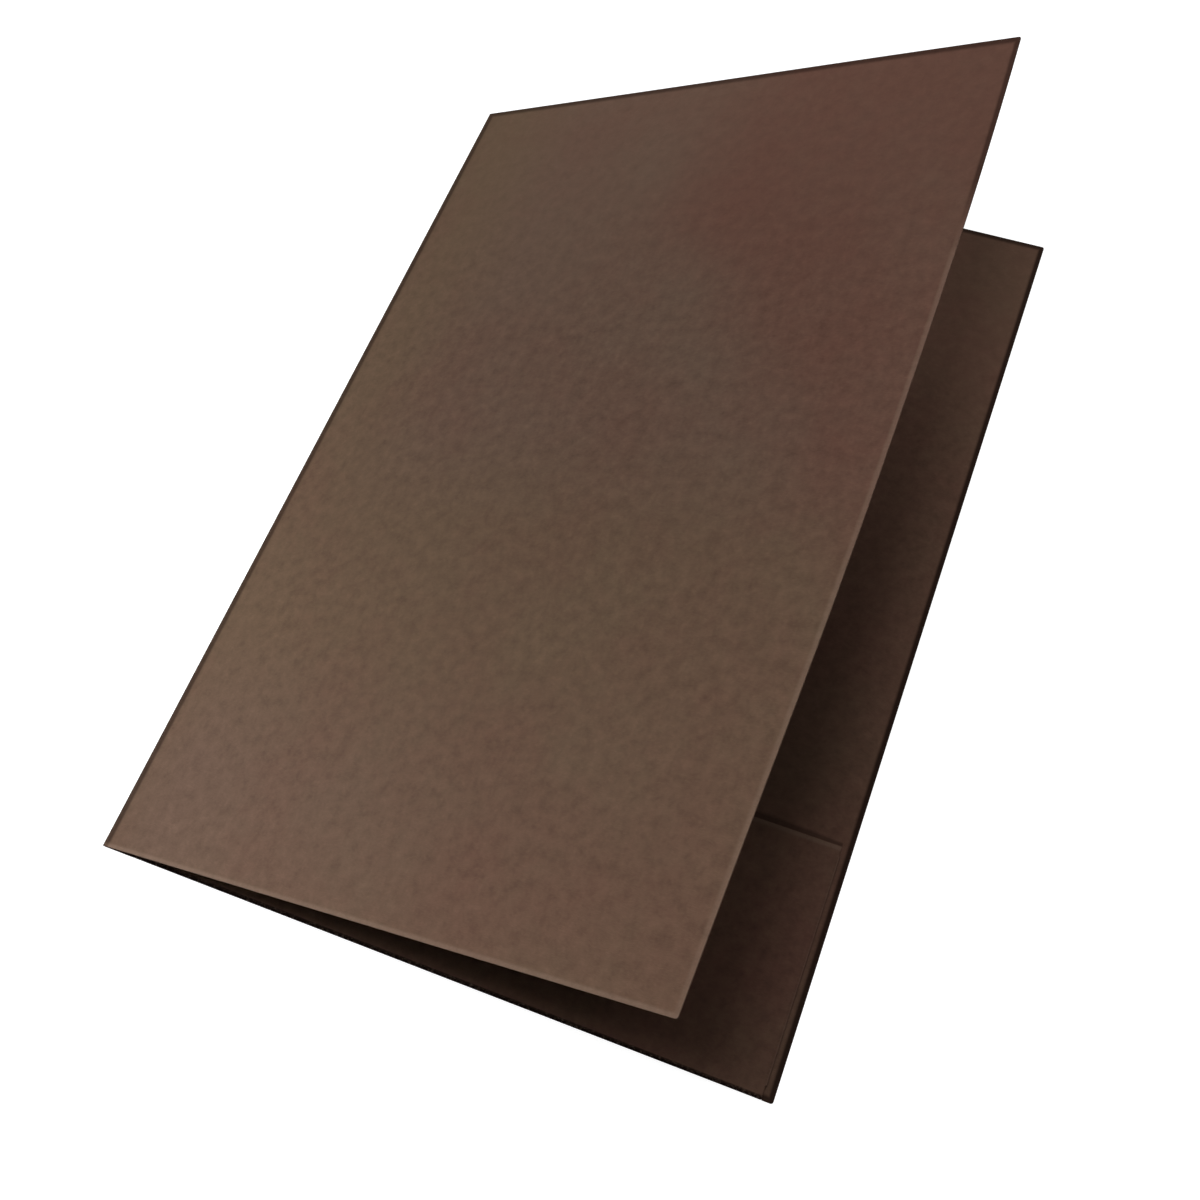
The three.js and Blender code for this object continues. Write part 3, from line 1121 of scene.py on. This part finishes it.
class FOLDER_OT_stage(bpy.types.Operator):
    """Set out the floor, the soft lights and the camera"""

    bl_idname = "folder.stage"
    bl_label = "Stage"

    # The floor's side, its squares along a side, how far under the folder it lies, and from where to where
    # its glow rises
    floor_side = 8
    floor_squares = 8
    floor_drop = 0.0001
    glow_near, glow_far = 0.5, 1.5

    # Each lamp's name, the side of its square and its place, and the place that all of them face
    lamps = (
        ("far", 0.95, (0.037, 1.165, 0.933)),
        ("top", 0.42, (-0.115, -0.014, 1.161)),
        ("key", 0.08, (-0.243, -0.15, 0.228)),
        ("fill", 0.1, (-0.055, -0.812, 0.865)),
    )
    lit_place = Vector((0, 0, 0.03))

    def execute(self, context):
        studio = context.scene.folder_studio
        scene = context.scene
        self.lay_floor(scene, studio)
        self.light(scene, studio)
        self.set_camera(scene, studio)
        scene.view_settings.view_transform = "Standard"
        return {"FINISHED"}

    def lay_floor(self, scene, studio):
        """A flat square grid, just under the folder."""
        side = np.linspace(-self.floor_side / 2, self.floor_side / 2, self.floor_squares + 1)
        x, y = np.meshgrid(side, side, indexing="ij")
        points = np.stack([x.ravel(), y.ravel(), np.full(x.size, -self.floor_drop)], axis=-1)
        mesh = bpy.data.meshes.new("floor")
        mesh.from_pydata(points.tolist(), [], cells(x.shape).tolist())
        glow = studio.floor_glow, self.glow_near, self.glow_far
        mesh.materials.append(floor_material(studio.floor_tone, *glow))
        floor = bpy.data.objects.new("floor", mesh)
        scene.collection.objects.link(floor)

    def light(self, scene, studio):
        """Faint even light from all round, seen as white, and four soft boxes."""
        world = bpy.data.worlds.new("studio")
        scene.world = world
        world.use_nodes = True
        tree = world.node_tree
        tree.nodes.clear()
        strength = spread(seen_directly(tree), 0.0, 1.0, studio.sky, 1.0)
        sky = signal(tree, "ShaderNodeBackground", {"Color": (1, 1, 1, 1), "Strength": strength})
        node(tree, "ShaderNodeOutputWorld", {0: sky})

        for name, size, place in self.lamps:
            self.soft_box(scene, name, getattr(studio, name + "_light"), size, Vector(place))

    def soft_box(self, scene, name, watts, size, place):
        """A square lamp at a place, turned to the folder's middle, that only shows by its light."""
        lamp = bpy.data.lights.new(name, "AREA")
        lamp.shape = "SQUARE"
        lamp.size = size
        lamp.energy = watts
        box = bpy.data.objects.new(name, lamp)
        box.location = place
        box.rotation_euler = (self.lit_place - place).to_track_quat("-Z", "Y").to_euler()
        box.visible_camera = False
        scene.collection.objects.link(box)

    def set_camera(self, scene, studio):
        """The camera that took the photograph, from its place, its turns, its lens and its shift."""
        lens = bpy.data.cameras.new("camera")
        lens.sensor_width = 36.0
        lens.lens = studio.camera_lens
        lens.shift_x, lens.shift_y = studio.camera_shift
        lens.clip_start, lens.clip_end = 0.01, 50.0
        camera = bpy.data.objects.new("camera", lens)
        camera.location = studio.camera_place
        camera.rotation_euler = studio.camera_turn
        scene.collection.objects.link(camera)
        scene.camera = camera


class VIEW3D_PT_folder(bpy.types.Panel):
    """Lists the folder's pieces, sizes, finish and stage"""

    bl_idname = "VIEW3D_PT_folder"
    bl_label = "Card Folder"
    bl_space_type = "VIEW_3D"
    bl_region_type = "UI"
    bl_category = "Folder"

    def draw(self, context):
        layout = self.layout
        for settings, kind in SETTINGS.items():
            column = layout.column(align=True)
            for name in kind.__annotations__:
                column.prop(getattr(context.scene, settings), name)
        for operator in OPERATORS:
            layout.operator(operator.bl_idname)


OPERATORS = (
    FOLDER_OT_front_cover,
    FOLDER_OT_back_cover,
    FOLDER_OT_spine_fold,
    FOLDER_OT_pocket,
    FOLDER_OT_pocket_folds,
    FOLDER_OT_glue_tab,
    FOLDER_OT_stage,
)
SETTINGS = {"folder_sizes": FolderSizes, "card_finish": CardFinish, "folder_studio": StudioSettings}


def register():
    for kind in (*SETTINGS.values(), *OPERATORS, VIEW3D_PT_folder):
        bpy.utils.register_class(kind)
    for name, kind in SETTINGS.items():
        setattr(bpy.types.Scene, name, PointerProperty(type=kind))


def unregister():
    for name in SETTINGS:
        delattr(bpy.types.Scene, name)
    for kind in (VIEW3D_PT_folder, *reversed(OPERATORS), *reversed(SETTINGS.values())):
        bpy.utils.unregister_class(kind)


def main():
    """Builds the folder and its stage."""
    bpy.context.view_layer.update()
    register()
    bpy.ops.folder.front_cover()
    bpy.ops.folder.back_cover()
    bpy.ops.folder.spine_fold()
    bpy.ops.folder.pocket()
    bpy.ops.folder.pocket_folds()
    bpy.ops.folder.glue_tab()
    bpy.ops.folder.stage()


if __name__ == "__main__":
    main()
